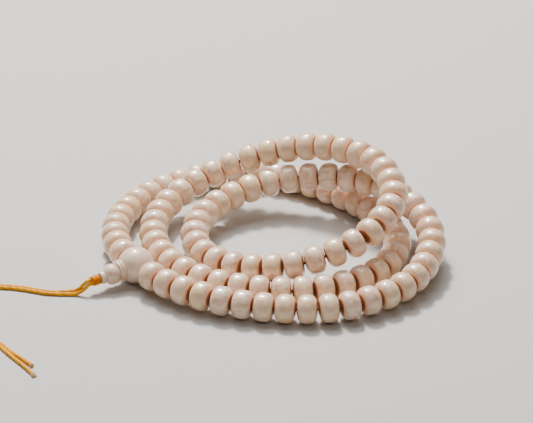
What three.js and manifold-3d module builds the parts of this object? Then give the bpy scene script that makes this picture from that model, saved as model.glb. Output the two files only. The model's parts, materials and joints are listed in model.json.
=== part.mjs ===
// Mala prayer beads: 108 barrel beads on one cord, closed by a round three-hole guru bead, a turned
// tower bead, a knot and two cord tails, laid down on a table in three overlapping turns.
// Millimetres, +Z up. The origin is on the table, under the middle of the coil.

import * as THREE from "three";
import { mergeVertices } from "three/addons/utils/BufferGeometryUtils.js";
import Module from "manifold-3d";

const wasm = await Module();
wasm.setup();

// ---- Driving dimensions -------------------------------------------------------------------------

// Counting beads: barrels with a straight belt, a round shoulder and a slightly domed end.
const BEAD_COUNT = 108;
const BEAD_DIAMETER = 10;
const BEAD_LENGTH = 6.85;
const BEAD_GAP = 0.4; // free play between neighbours along the cord
const BEAD_BELT = 3; // length of the straight belt
const BEAD_SHOULDER_DIAMETER = 8;
const BEAD_SHOULDER_DEPTH = 0.8; // how far the shoulder lies behind the end
const BEAD_SIDES = 10;

// Cord: one length, from tail to tail.
const CORD_DIAMETER = 1.2;
const CORD_SIDES = 8;
const BORE_CLEARANCE = 0.3; // around the cord in a counting bead

// Guru bead: a ball with a straight bore for the strand and a third bore for the two cord ends.
const GURU_DIAMETER = 12.6;
const GURU_GAP = 0.25; // between the guru bead and what is strung against it
const GURU_REST_GAP = 0.3; // between the guru bead and the turn that it leans on
const GURU_BANDS = 14;
const GURU_SEGMENTS = 20;
const GURU_BORE_CLEARANCE = 0.4; // around the cord in the guru bead's straight bore
const CORD_PAIR_GAP = 0.3; // between the two cord ends, side by side
const PAIR_BORE_CLEARANCE = 0.25; // around the two cord ends, in the guru bead and the tower bead
const CORD_JOIN_GAP = 0.4; // where one stretch of the cord meets the next
const BORE_SIDES = 12;

// Tower bead, measured along its axis from its seat on the guru bead.
const TOWER_DROOP = 6; // degrees below level
const COLLAR_DIAMETER = 7.8;
const COLLAR_GROOVE_DIAMETER = 6.8;
const COLLAR_RIDGE = 0.9; // length of each of the collar's two ridges
const COLLAR_GROOVE = 0.3;
const COLLAR_NECK_DIAMETER = 5.4;
const BELLY_DIAMETER = 7.2;
const BELLY_LENGTH = 4.9;
const BELLY_STEPS = 6;
const TIP_NECK_DIAMETER = 3.9;
const TIP_DIAMETER = 4.4;
const TIP_LENGTH = 1.7;
const EDGE_DEPTH = 0.15; // of the bevels that face the belly
const TOWER_SIDES = 12;

// Knot at the tip of the tower bead.
const KNOT_DIAMETER = 3.5;
const KNOT_LENGTH = 3.6;
const KNOT_GAP = 0.3;
const KNOT_SIDES = 10;
// Its outline, in shares of its radius and of its length.
const KNOT_OUTLINE = [[0, 0], [0.75, 0], [1, 0.3], [1, 0.7], [0.75, 1], [0, 1]];

// ---- The route of the strand --------------------------------------------------------------------

// The coil follows an oval, a station every 30 degrees, clockwise from the guru bead, for three turns.
// Each station is [sideways, rise] in bead diameters: how far outside the oval the cord runs, and how
// far above the level of a bead that lies on the table. The oval grows until the strand fits.
const COIL_WIDTH = 95;
const COIL_DEPTH = 93;
const GURU_BEARING = 206; // degrees, from +X
const STATION_STEP = 30;
const GURU_STATION = 0;
const GURU_LEANS_ON = 12; // the station beside it, one turn further on
const STRAND_ROUTE = [
  [0.35, 0], [0.6, 0.07], [0.77, 0.01], [0.82, 0], [0.3, 0], [-0.38, 0],
  [-0.53, 0], [-0.33, 0], [-0.32, 0], [-0.6, 0], [-0.9, 0], [-0.94, 0.01],
  [-0.88, 0.08], [-0.73, 0.15], [-0.55, 0.31], [-0.5, 0.8], [-0.82, 1.58], [-0.88, 2.03],
  [-0.66, 2.11], [-0.48, 1.79], [-0.78, 1.26], [-1.48, 0.65], [-1.9, 0.3], [-2.07, 0.15],
  [-2.13, 0.12], [-2.16, 0.18], [-2.07, 0.28], [-1.83, 0.44], [-1.48, 0.69], [-1.06, 0.95],
  [-0.26, 1.07], [0.78, 0.57], [1.11, 0.15], [0.87, 0.03], [0.3, 0.01], [0.22, 0.11],
];
const CURVE_DIVISIONS = 1440;
const SMALLEST_SCALE = 0.3; // the oval's final scale is looked for between these two
const LARGEST_SCALE = 3;
const SCALE_HALVINGS = 40;

// ---- The route of the cord tails ----------------------------------------------------------------

// Both tails run side by side from the knot: down to the table, away to the left, round in one open
// bend and back to their cut ends. Each point is [x, y, rise]: its place from the knot's outer end, and
// how far the cord is above lying on the table.
const TAIL_ROUTE = [
  [-1.9, -0.6, 2.3], [-3.8, -0.7, 0.9], [-6, -0.6, 0.2], [-10.6, -0.4, 0], [-14.3, 0.1, 0],
  [-17.7, 1.2, 0], [-22.8, 3, 0], [-27.9, 4.1, 0], [-33, 4.3, 0], [-39, 2.9, 0],
  [-44.5, -1.5, 0], [-47.5, -8.5, 0], [-47, -17, 0], [-42.5, -24.5, 0], [-35.5, -30, 0],
  [-28.2, -36, 0], [-24.2, -41.9, 0],
];
const TAIL_END_A = [[-20.4, -46.3, 0], [-17, -50.6, 0]];
const TAIL_END_B = [[-21.2, -46.4, 0], [-18.4, -50.6, 0], [-15.5, -55.2, 0]];
const TAIL_PAIR_GAP = 0.2; // between the two tails where they lie side by side
const TAIL_STEP = 3; // length of one straight step of a tail

// ---- Which beads turn one by one ----------------------------------------------------------------

// The beads between these runs are separate. Each run is a stretch of the lowest turns, joined bead
// to bead by its bore rims.
const JOINED_RUNS = [[1, 15], [16, 30], [31, 45], [72, 86]];
const RUN_NECK_DIAMETER = 4; // of the web that joins two neighbours

// ---- Materials ----------------------------------------------------------------------------------

const IVORY = new THREE.MeshStandardMaterial({ color: 0xd9c9b8, roughness: 0.22, metalness: 0 });
const GURU_IVORY = new THREE.MeshStandardMaterial({ color: 0xd6c6b9, roughness: 0.2, metalness: 0 });
const GOLDEN_CORD = new THREE.MeshStandardMaterial({ color: 0xe2a21c, roughness: 0.6, metalness: 0 });
const ORANGE_CORD = new THREE.MeshStandardMaterial({ color: 0xd98212, roughness: 0.6, metalness: 0 });

// ---- Values worked out from the dimensions ------------------------------------------------------

const BEAD_RADIUS = BEAD_DIAMETER / 2;
const BEAD_PITCH = BEAD_LENGTH + BEAD_GAP;
const CORD_RADIUS = CORD_DIAMETER / 2;
const GURU_RADIUS = GURU_DIAMETER / 2;
const GURU_REACH = GURU_RADIUS + GURU_GAP; // from the guru bead's middle to what is strung against it
const STRAND_LENGTH = BEAD_COUNT * BEAD_PITCH + 2 * GURU_REACH;
const CORD_PAIR_OFFSET = CORD_RADIUS + CORD_PAIR_GAP / 2;
const BEAD_BORE_DIAMETER = CORD_DIAMETER + 2 * BORE_CLEARANCE;
const GURU_BORE_DIAMETER = CORD_DIAMETER + 2 * GURU_BORE_CLEARANCE;
const PAIR_BORE_DIAMETER = 2 * (CORD_DIAMETER + PAIR_BORE_CLEARANCE) + CORD_PAIR_GAP;
const WELD_DISTANCE = 1e-4; // corners nearer than this are one corner
const ROUNDING = 1e-9;
const UP = new THREE.Vector3(0, 0, 1);

// The radius at the corners of a regular section whose flats lie on a circle of this diameter.
function cornerRadius(diameter, sides) {
  return diameter / 2 / Math.cos(Math.PI / sides);
}

// ---- Shapes -------------------------------------------------------------------------------------

// A closed profile of [radius, height] points, turned about Y. A flat of the section faces +Z.
function turned(profile, sides) {
  const points = [...profile, profile[0]].map(([r, y]) => new THREE.Vector2(r, y));
  return new THREE.LatheGeometry(points, sides, Math.PI / sides);
}

// Turns a shape's Y axis to the direction, with its Z axis as near to straight up as that allows.
function alongAxis(direction) {
  const y = direction.clone().normalize();
  const x = new THREE.Vector3().crossVectors(y, UP).normalize();
  const z = new THREE.Vector3().crossVectors(x, y);
  return new THREE.Matrix4().makeBasis(x, y, z);
}

function placedAt(point, direction) {
  return alongAxis(direction).setPosition(point);
}

function solidOf(geometry, matrix = new THREE.Matrix4()) {
  const moved = geometry.clone().applyMatrix4(matrix);
  moved.deleteAttribute("normal");
  moved.deleteAttribute("uv");
  const merged = mergeVertices(moved, WELD_DISTANCE);
  return new wasm.Manifold(new wasm.Mesh({
    numProp: 3,
    vertProperties: merged.attributes.position.array,
    triVerts: new Uint32Array(merged.index.array),
  }));
}

function geometryOf(solid) {
  const mesh = solid.getMesh();
  const geometry = new THREE.BufferGeometry();
  geometry.setAttribute("position", new THREE.BufferAttribute(mesh.vertProperties, 3));
  geometry.setIndex(new THREE.BufferAttribute(mesh.triVerts, 1));
  geometry.computeVertexNormals();
  return geometry;
}

// A path through given points, whose parameter counts the points, so each step ends on one.
class PointPath extends THREE.Curve {
  constructor(points) {
    super();
    this.points = points;
  }

  getPoint(t, target = new THREE.Vector3()) {
    const place = t * (this.points.length - 1);
    const i = Math.min(Math.floor(place + ROUNDING), this.points.length - 2);
    return target.copy(this.points[i]).lerp(this.points[i + 1], place - i);
  }

  getPointAt(u, target) {
    return this.getPoint(u, target);
  }

  getTangentAt(u, target = new THREE.Vector3()) {
    const i = Math.round(u * (this.points.length - 1));
    const before = this.points[Math.max(i - 1, 0)];
    const after = this.points[Math.min(i + 1, this.points.length - 1)];
    return target.copy(after).sub(before).normalize();
  }
}

// A length of cord through the points, eight-sided, with flat ends.
function cordThrough(points) {
  const section = new THREE.Shape();
  for (let i = 0; i < CORD_SIDES; i++) {
    const angle = ((2 * i + 1) * Math.PI) / CORD_SIDES;
    const corner = [CORD_RADIUS * Math.cos(angle), CORD_RADIUS * Math.sin(angle)];
    if (i === 0) section.moveTo(...corner);
    else section.lineTo(...corner);
  }
  return new THREE.ExtrudeGeometry(section, {
    steps: points.length - 1,
    extrudePath: new PointPath(points),
  });
}

// ---- The strand ---------------------------------------------------------------------------------

// How far the guru bead's middle lies outside the oval: it leans on the turn beside it.
function guruSideways() {
  const [neighbour, rise] = STRAND_ROUTE[GURU_LEANS_ON];
  const apart = GURU_RADIUS + cornerRadius(BEAD_DIAMETER, BEAD_SIDES) + GURU_REST_GAP;
  const drop = GURU_RADIUS - BEAD_RADIUS - rise * BEAD_DIAMETER;
  return neighbour * BEAD_DIAMETER + Math.sqrt(apart ** 2 - drop ** 2);
}

function routePoint(station, scale) {
  const [sideways, rise] = STRAND_ROUTE[station];
  const angle = THREE.MathUtils.degToRad(GURU_BEARING - station * STATION_STEP);
  const across = new THREE.Vector3(Math.cos(angle) / COIL_WIDTH, Math.sin(angle) / COIL_DEPTH, 0);
  const isGuru = station === GURU_STATION;
  const offset = isGuru ? guruSideways() : sideways * BEAD_DIAMETER;
  const height = isGuru ? GURU_RADIUS : BEAD_RADIUS + rise * BEAD_DIAMETER;
  return new THREE.Vector3(
    (scale * COIL_WIDTH * Math.cos(angle)) / 2,
    (scale * COIL_DEPTH * Math.sin(angle)) / 2,
    height,
  ).addScaledVector(across.normalize(), offset);
}

function strandCurve(scale) {
  const points = STRAND_ROUTE.map((_, station) => routePoint(station, scale));
  const curve = new THREE.CatmullRomCurve3(points, true, "centripetal");
  curve.arcLengthDivisions = CURVE_DIVISIONS;
  return curve;
}

// The oval's scale at which the closed curve is as long as the strand, found by halving.
function fittedCurve() {
  let small = SMALLEST_SCALE;
  let large = LARGEST_SCALE;
  for (let i = 0; i < SCALE_HALVINGS; i++) {
    const middle = (small + large) / 2;
    if (strandCurve(middle).getLength() < STRAND_LENGTH) small = middle;
    else large = middle;
  }
  return strandCurve(large);
}

const strand = fittedCurve();

// The cord's points between beads: bead n runs from bounds[n - 1] to bounds[n].
const bounds = Array.from({ length: BEAD_COUNT + 1 }, (_, i) =>
  strand.getPointAt((GURU_REACH + i * BEAD_PITCH) / STRAND_LENGTH));

function beadPlace(number) {
  const start = bounds[number - 1];
  const end = bounds[number];
  return {
    middle: start.clone().lerp(end, 0.5),
    axis: end.clone().sub(start).normalize(),
  };
}

// ---- Counting beads -----------------------------------------------------------------------------

const BEAD_PROFILE = [
  [BEAD_BORE_DIAMETER, -BEAD_LENGTH / 2],
  [BEAD_SHOULDER_DIAMETER, BEAD_SHOULDER_DEPTH - BEAD_LENGTH / 2],
  [BEAD_DIAMETER, -BEAD_BELT / 2],
  [BEAD_DIAMETER, BEAD_BELT / 2],
  [BEAD_SHOULDER_DIAMETER, BEAD_LENGTH / 2 - BEAD_SHOULDER_DEPTH],
  [BEAD_BORE_DIAMETER, BEAD_LENGTH / 2],
].map(([diameter, y]) => [cornerRadius(diameter, BEAD_SIDES), y]);

function singleBead(number) {
  const { middle, axis } = beadPlace(number);
  const mesh = new THREE.Mesh(turned(BEAD_PROFILE, BEAD_SIDES), IVORY);
  mesh.name = `bead_${String(number).padStart(3, "0")}`;
  mesh.position.copy(middle);
  mesh.quaternion.setFromRotationMatrix(alongAxis(axis));
  return mesh;
}

// The corners of one section of a bead, at a height along its axis.
function beadRing(middle, axis, diameter, y) {
  const place = placedAt(middle, axis);
  const radius = cornerRadius(diameter, BEAD_SIDES);
  return Array.from({ length: BEAD_SIDES }, (_, i) => {
    const angle = ((2 * i + 1) * Math.PI) / BEAD_SIDES;
    return new THREE.Vector3(radius * Math.sin(angle), y, radius * Math.cos(angle)).applyMatrix4(place);
  });
}

// A closed surface through rings of corners, where the last ring joins the first.
function skin(rings) {
  const corner = (ring, i) => (ring % rings.length) * BEAD_SIDES + (i % BEAD_SIDES);
  const index = rings.flatMap((_, ring) => Array.from({ length: BEAD_SIDES }, (_, i) => [
    corner(ring, i), corner(ring, i + 1), corner(ring + 1, i),
    corner(ring, i + 1), corner(ring + 1, i + 1), corner(ring + 1, i),
  ]).flat());
  const geometry = new THREE.BufferGeometry().setFromPoints(rings.flat());
  geometry.setIndex(index);
  geometry.computeVertexNormals();
  return geometry;
}

// One body for a run of beads: rings of points along the outside, then back along the bore.
function joinedRun([first, last]) {
  const places = [];
  for (let number = first; number <= last; number++) places.push(beadPlace(number));
  const shoulderAt = BEAD_LENGTH / 2 - BEAD_SHOULDER_DEPTH;
  const outline = [
    [BEAD_SHOULDER_DIAMETER, -shoulderAt], [BEAD_DIAMETER, -BEAD_BELT / 2],
    [BEAD_DIAMETER, BEAD_BELT / 2], [BEAD_SHOULDER_DIAMETER, shoulderAt],
  ];
  const outside = places.flatMap(({ middle, axis }, i) => {
    const rings = outline.map(([diameter, y]) => beadRing(middle, axis, diameter, y));
    if (i === places.length - 1) return rings;
    return [...rings, beadRing(bounds[first + i], neckAxis(places[i], places[i + 1]), RUN_NECK_DIAMETER, 0)];
  });
  const inside = places.slice(0, -1).map((place, i) =>
    beadRing(bounds[first + i], neckAxis(place, places[i + 1]), BEAD_BORE_DIAMETER, 0));
  const open = beadRing(places[0].middle, places[0].axis, BEAD_BORE_DIAMETER, -BEAD_LENGTH / 2);
  const final = places[places.length - 1];
  const close = beadRing(final.middle, final.axis, BEAD_BORE_DIAMETER, BEAD_LENGTH / 2);
  const mesh = new THREE.Mesh(skin([...outside, close, ...inside.reverse(), open]), IVORY);
  mesh.name = `bead_run_${String(first).padStart(3, "0")}_${String(last).padStart(3, "0")}`;
  return mesh;
}

// The direction of the cord where two neighbouring beads meet.
function neckAxis(before, after) {
  return before.axis.clone().add(after.axis).normalize();
}

function countingBeads() {
  const group = new THREE.Group();
  for (let number = 1; number <= BEAD_COUNT; number++) {
    const run = JOINED_RUNS.find(([first, last]) => number >= first && number <= last);
    if (!run) group.add(singleBead(number));
    else if (run[0] === number) group.add(joinedRun(run));
  }
  return group;
}

// ---- Guru bead, tower bead and knot -------------------------------------------------------------

// The guru bead's frame: the strand runs along its bore, and the tower stands square to that.
const guruMiddle = bounds[0].clone().lerp(bounds[BEAD_COUNT], 0.5);
const strandAxis = bounds[0].clone().sub(bounds[BEAD_COUNT]).normalize();
const outward = new THREE.Vector3().crossVectors(strandAxis, UP).normalize().negate();
const droop = THREE.MathUtils.degToRad(TOWER_DROOP);
const towerAxis = outward.clone().multiplyScalar(Math.cos(droop)).addScaledVector(UP, -Math.sin(droop));

function boreCutter(diameter, from, to) {
  const radius = cornerRadius(diameter, BORE_SIDES);
  const cutter = new THREE.CylinderGeometry(radius, radius, to - from, BORE_SIDES);
  return cutter.translate(0, (from + to) / 2, 0);
}

function guruBead() {
  const ball = new THREE.SphereGeometry(GURU_RADIUS, GURU_SEGMENTS, GURU_BANDS);
  ball.rotateX(Math.PI / 2);
  const straight = boreCutter(GURU_BORE_DIAMETER, -GURU_DIAMETER, GURU_DIAMETER);
  const third = boreCutter(PAIR_BORE_DIAMETER, -PAIR_BORE_DIAMETER / 2, GURU_DIAMETER);
  const solid = solidOf(ball, new THREE.Matrix4().setPosition(guruMiddle))
    .subtract(solidOf(straight, placedAt(guruMiddle, strandAxis)))
    .subtract(solidOf(third, placedAt(guruMiddle, towerAxis)));
  const mesh = new THREE.Mesh(geometryOf(solid), GURU_IVORY);
  mesh.name = "guru_bead";
  return mesh;
}

// Height of the tower's hollow seat at a radius: it follows the guru bead, a gap away.
function seatHeight(radius) {
  return Math.sqrt((GURU_RADIUS + GURU_GAP) ** 2 - radius ** 2);
}

const collarTop = seatHeight(COLLAR_DIAMETER / 2) + 2 * COLLAR_RIDGE + COLLAR_GROOVE;
const bellyTop = collarTop + BELLY_LENGTH;
const towerTop = bellyTop + TIP_LENGTH;
const knotStart = towerTop + KNOT_GAP;
const knotEnd = knotStart + KNOT_LENGTH;

// The belly's outline, an arc from the collar's neck to the tip's neck.
function bellyOutline() {
  const radius = BELLY_DIAMETER / 2;
  const start = Math.acos(COLLAR_NECK_DIAMETER / BELLY_DIAMETER);
  const end = Math.acos(TIP_NECK_DIAMETER / BELLY_DIAMETER);
  const rise = BELLY_LENGTH / (Math.sin(start) + Math.sin(end));
  return Array.from({ length: BELLY_STEPS + 1 }, (_, i) => {
    const angle = -start + ((start + end) * i) / BELLY_STEPS;
    return [radius * Math.cos(angle), collarTop + rise * (Math.sin(start) + Math.sin(angle))];
  });
}

function towerBead() {
  const bore = cornerRadius(PAIR_BORE_DIAMETER, TOWER_SIDES);
  const collar = COLLAR_DIAMETER / 2;
  const groove = COLLAR_GROOVE_DIAMETER / 2;
  const rim = seatHeight(collar);
  const midSeat = (bore + collar) / 2;
  const profile = [
    [bore, seatHeight(bore)], [midSeat, seatHeight(midSeat)], [collar, rim],
    [collar, rim + COLLAR_RIDGE], [groove, rim + COLLAR_RIDGE + COLLAR_GROOVE / 2],
    [collar, rim + COLLAR_RIDGE + COLLAR_GROOVE], [collar, collarTop - EDGE_DEPTH],
    ...bellyOutline(),
    [TIP_DIAMETER / 2, bellyTop + EDGE_DEPTH], [TIP_DIAMETER / 2, towerTop], [bore, towerTop],
  ];
  const mesh = new THREE.Mesh(turned(profile, TOWER_SIDES), IVORY);
  mesh.name = "tower_bead";
  mesh.position.copy(guruMiddle);
  mesh.quaternion.setFromRotationMatrix(alongAxis(towerAxis));
  return mesh;
}

function tailKnot() {
  const radius = KNOT_DIAMETER / 2;
  const profile = KNOT_OUTLINE.map(([across, along]) =>
    new THREE.Vector2(across * radius, knotStart + along * KNOT_LENGTH));
  const mesh = new THREE.Mesh(new THREE.LatheGeometry(profile, KNOT_SIDES), ORANGE_CORD);
  mesh.name = "tail_knot";
  mesh.position.copy(guruMiddle);
  mesh.quaternion.setFromRotationMatrix(alongAxis(towerAxis));
  return mesh;
}

// ---- The cord -----------------------------------------------------------------------------------

function cordMesh(name, points) {
  const mesh = new THREE.Mesh(cordThrough(points), GOLDEN_CORD);
  mesh.name = name;
  return mesh;
}

// The strand's own stretch: straight inside each bead, with its two ends inside the guru bead.
function stringingCord() {
  const inside = CORD_PAIR_OFFSET + CORD_RADIUS + CORD_JOIN_GAP;
  return cordMesh("stringing_cord", [
    guruMiddle.clone().addScaledVector(strandAxis, inside),
    ...bounds,
    guruMiddle.clone().addScaledVector(strandAxis, -inside),
  ]);
}

// The two ends side by side, from the guru bead's middle through the tower bead to the knot.
function towerCord(name, side) {
  const start = guruMiddle.clone().addScaledVector(strandAxis, side * CORD_PAIR_OFFSET);
  return cordMesh(name, [start, start.clone().addScaledVector(towerAxis, towerTop)]);
}

// One tail, beside the middle line that both follow. Its first step is straight out of the knot.
function tailCord(name, side, cutEnd) {
  const exit = guruMiddle.clone().addScaledVector(towerAxis, knotEnd + CORD_JOIN_GAP);
  const straight = exit.clone().addScaledVector(towerAxis, CORD_RADIUS);
  const route = [...TAIL_ROUTE, ...cutEnd].map(([x, y, rise]) =>
    new THREE.Vector3(exit.x + x, exit.y + y, CORD_RADIUS + rise));
  const middleLine = new THREE.CatmullRomCurve3([exit, straight, ...route], false, "centripetal");
  const steps = Math.round(middleLine.getLength() / TAIL_STEP);
  const beside = (point, along) => {
    const sideways = new THREE.Vector3().crossVectors(along, UP).normalize();
    return point.clone().addScaledVector(sideways, side * (CORD_RADIUS + TAIL_PAIR_GAP / 2));
  };
  const points = [beside(exit, towerAxis), beside(straight, towerAxis)];
  for (let i = 1; i <= steps; i++) {
    points.push(beside(middleLine.getPointAt(i / steps), middleLine.getTangentAt(i / steps)));
  }
  return cordMesh(name, points);
}

// ---- Assembly -----------------------------------------------------------------------------------

const strung = new THREE.Group();
strung.add(
  stringingCord(),
  countingBeads(),
  guruBead(),
  towerBead(),
  towerCord("tower_cord_a", -1),
  towerCord("tower_cord_b", 1),
);

const tail = new THREE.Group();
tail.add(tailKnot(), tailCord("tail_cord_a", -1, TAIL_END_A), tailCord("tail_cord_b", 1, TAIL_END_B));

// The coil's own box, without the free tail, is centred over the origin and stands on the table.
const coilBox = new THREE.Box3().setFromObject(strung, true);
const middle = coilBox.getCenter(new THREE.Vector3());
const mala = new THREE.Group();
mala.add(strung, tail);
mala.position.set(-middle.x, -middle.y, -coilBox.min.z);

export default mala;
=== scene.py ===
"""Mala prayer beads: the visible beads, cord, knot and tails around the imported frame. Metres, +Z up."""

import json
import math

import bmesh
import bpy
import numpy as np
from mathutils import Matrix, Vector


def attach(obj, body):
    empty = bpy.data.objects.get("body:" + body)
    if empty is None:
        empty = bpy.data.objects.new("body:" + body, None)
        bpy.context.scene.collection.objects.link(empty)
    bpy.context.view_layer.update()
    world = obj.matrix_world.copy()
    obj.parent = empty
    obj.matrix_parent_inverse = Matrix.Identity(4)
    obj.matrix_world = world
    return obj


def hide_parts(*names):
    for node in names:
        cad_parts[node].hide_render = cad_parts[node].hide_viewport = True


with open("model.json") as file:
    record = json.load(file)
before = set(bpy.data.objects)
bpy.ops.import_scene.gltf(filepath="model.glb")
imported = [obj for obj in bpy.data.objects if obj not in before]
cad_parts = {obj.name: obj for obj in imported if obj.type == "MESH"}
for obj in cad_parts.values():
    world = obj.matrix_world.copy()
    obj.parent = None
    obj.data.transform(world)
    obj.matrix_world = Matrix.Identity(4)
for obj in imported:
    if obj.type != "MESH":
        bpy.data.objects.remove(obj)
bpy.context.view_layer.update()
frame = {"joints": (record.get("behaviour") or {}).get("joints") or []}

# ---- Sizes, in metres ----------------------------------------------------------------------------

UP = Vector((0, 0, 1))

BEAD_COUNT = 108
BEAD_DIAMETER = 0.010
BEAD_LENGTH = 0.00716  # where the strand is straight
BEAD_PITCH = 0.00725  # from one bead's middle to the next, along the cord
BEAD_BORE = 0.0018
BEAD_CLEARANCE = 0.00004  # between neighbours where the strand bends
BEAD_END_ROUNDNESS = 2.6  # exponents of the barrel's outline: along the bore
BEAD_BELT_ROUNDNESS = 3.4  # and across it
BEAD_SEGMENTS = 44
BEAD_RINGS = 30
BEAD_WELD = 0.00002  # joins the outside to the bore at both rims
BEAD_SHARP_ANGLE = math.radians(50)

GURU_DIAMETER = 0.0126
GURU_REACH = 0.00655  # from the guru bead's middle to what is strung against it
GURU_REST_GAP = 0.0003
GURU_BORE = 0.002
PAIR_BORE = 0.0032
GURU_LIP = 0.00025  # how far the straight bore's rims are eased
THIRD_BORE_START = 0.0012  # past the guru bead's middle
GURU_STEPS = 48
GURU_SEGMENTS = 72
GURU_SHARP_ANGLE = math.radians(40)
DRILL_SEGMENTS = 40

CORD_DIAMETER = 0.0012
TAIL_DIAMETER = 0.0013  # where the cord is free it opens a little
TAIL_PAIR_OFFSET = 0.00066
CORD_PAIR_OFFSET = 0.00061  # of each cord of a pair, from the pair's middle
PLY_COUNT = 3
TWIST_LENGTH = 0.008  # along which a cord's plies turn once
FRAY_ROOT = 0.0003  # how far the loose fibres start inside a cut end

# From the guru bead's middle, along the tower bead.
COLLAR_END = 0.00736
BELLY_END = 0.01226
TOWER_TIP = 0.01396
KNOT_END = 0.01786
TAIL_START = 0.01826
TAIL_STRAIGHT = 0.0006
STACKED_LENGTH = 0.016  # along which the two tails roll from one over the other to side by side
STACKED_ROLL = math.radians(60)
TAIL_ROOT = 0.0009  # how far the tails start inside the knot

# The tower bead's turning.
COLLAR_RADIUS = 0.0039
COLLAR_DIP = 0.0005  # between the collar's two ridges
COLLAR_STEP = 0.00005  # how much the second ridge is smaller
BELLY_RADIUS = 0.0036
FIRST_NECK_RADIUS = 0.0027
LAST_NECK_RADIUS = 0.0019
TIP_NECK_RADIUS = 0.0018
TIP_NECK_LENGTH = 0.00004
TIP_RADIUS = 0.0022
TIP_LIP = 0.0002
SEAT_GAP = 0.00006
SEAT_STEPS = 6
RIDGE_STEPS = 12
BELLY_STEPS = 26
TIP_STEPS = 14
TOWER_SEGMENTS = 64
TOWER_SHARP_ANGLE = math.radians(55)

# The knot's winding, from the middle of the pair to the middle of the wound cord.
KNOT_TURNS = 2.9
KNOT_HALF_WIDTH = 0.00128
KNOT_HALF_HEIGHT = 0.00118
KNOT_SLANT = 0.0004
KNOT_SLANT_BEARING = 0.9  # radians round from the side
KNOT_FIRST_TURN = 0.0005  # past the tower bead's tip
KNOT_STEPS = 84
KNOT_TUCK = 0.4  # share of the half width at which its ends are tucked in
KNOT_TUCK_START = 0.06
KNOT_TUCK_RATE = 9

# ---- The route of the strand ---------------------------------------------------------------------

# The coil's oval has a station every 30 degrees, clockwise from the guru bead, for three turns. Each is
# [sideways, rise] in bead diameters, as in the part's source.
COIL_WIDTH = 0.095
COIL_DEPTH = 0.093
GURU_BEARING = 206
STATION_STEP = 30
GURU_LEANS_ON = 12
STRAND_ROUTE = [
    (0.35, 0), (0.6, 0.07), (0.77, 0.01), (0.82, 0), (0.3, 0), (-0.38, 0),
    (-0.53, 0), (-0.33, 0), (-0.32, 0), (-0.6, 0), (-0.9, 0), (-0.94, 0.01),
    (-0.88, 0.08), (-0.73, 0.15), (-0.55, 0.31), (-0.5, 0.8), (-0.82, 1.58), (-0.88, 2.03),
    (-0.66, 2.11), (-0.48, 1.79), (-0.78, 1.26), (-1.48, 0.65), (-1.9, 0.3), (-2.07, 0.15),
    (-2.13, 0.12), (-2.16, 0.18), (-2.07, 0.28), (-1.83, 0.44), (-1.48, 0.69), (-1.06, 0.95),
    (-0.26, 1.07), (0.78, 0.57), (1.11, 0.15), (0.87, 0.03), (0.3, 0.01), (0.22, 0.11),
]
CURVE_DIVISIONS = 1440
SMALLEST_SCALE = 0.3  # the oval's scale is looked for between these two
LARGEST_SCALE = 3.0
SCALE_HALVINGS = 40
BEAD_SIDES = 10  # of a counting bead's section in the frame

# Both tails, from the knot's outer end: down to the table, away to the left, round in one open bend and
# back to their cut ends. Each point is [x, y, rise above lying on the table].
TAIL_ROUTE = [
    (-0.0019, -0.0006, 0.0023), (-0.0038, -0.0007, 0.0009), (-0.006, -0.0006, 0.0002),
    (-0.0106, -0.0004, 0), (-0.0143, 0.0001, 0), (-0.0177, 0.0012, 0), (-0.0228, 0.003, 0),
    (-0.0279, 0.0041, 0), (-0.033, 0.0043, 0), (-0.039, 0.0029, 0), (-0.0445, -0.0015, 0),
    (-0.0475, -0.0085, 0), (-0.047, -0.017, 0), (-0.0425, -0.0245, 0), (-0.0355, -0.03, 0),
    (-0.0282, -0.036, 0), (-0.0242, -0.0419, 0),
]
TAIL_END_A = [(-0.0204, -0.0463, 0), (-0.017, -0.0506, 0)]
TAIL_END_B = [(-0.0212, -0.0464, 0), (-0.0184, -0.0506, 0), (-0.0155, -0.0552, 0)]
TAIL_DIVISIONS = 400

JOINED_RUNS = [(1, 15), (16, 30), (31, 45), (72, 86)]


def smooth_line(points, divisions, closed=False):
    """Points along the centripetal Catmull-Rom curve through the given ones."""
    points = np.array(points, float)
    if closed:
        padded = np.vstack([points[-1:], points, points[:2]])
    else:
        padded = np.vstack([2 * points[0] - points[1], points, 2 * points[-1] - points[-2]])
    spans = len(padded) - 3
    place = np.arange(divisions + 1) / divisions * spans
    first = np.minimum(place.astype(int), spans - 1)
    t = (place - first)[:, None]
    p0, p1, p2, p3 = (padded[first + k] for k in range(4))
    d0, d1, d2 = (
        np.maximum(np.linalg.norm(b - a, axis=1), 1e-9)[:, None] ** 0.5
        for a, b in ((p0, p1), (p1, p2), (p2, p3))
    )
    m1 = ((p1 - p0) / d0 - (p2 - p0) / (d0 + d1) + (p2 - p1) / d1) * d1
    m2 = ((p2 - p1) / d1 - (p3 - p1) / (d1 + d2) + (p3 - p2) / d2) * d1
    bend = -3 * p1 + 3 * p2 - 2 * m1 - m2
    twist = 2 * p1 - 2 * p2 + m1 + m2
    return p1 + m1 * t + bend * t**2 + twist * t**3


def lengths_along(line):
    steps = np.linalg.norm(np.diff(line, axis=0), axis=1)
    return np.concatenate([[0], np.cumsum(steps)])


def points_at(line, distances):
    along = lengths_along(line)
    return np.stack([np.interp(distances, along, line[:, k]) for k in range(3)], axis=1)


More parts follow.
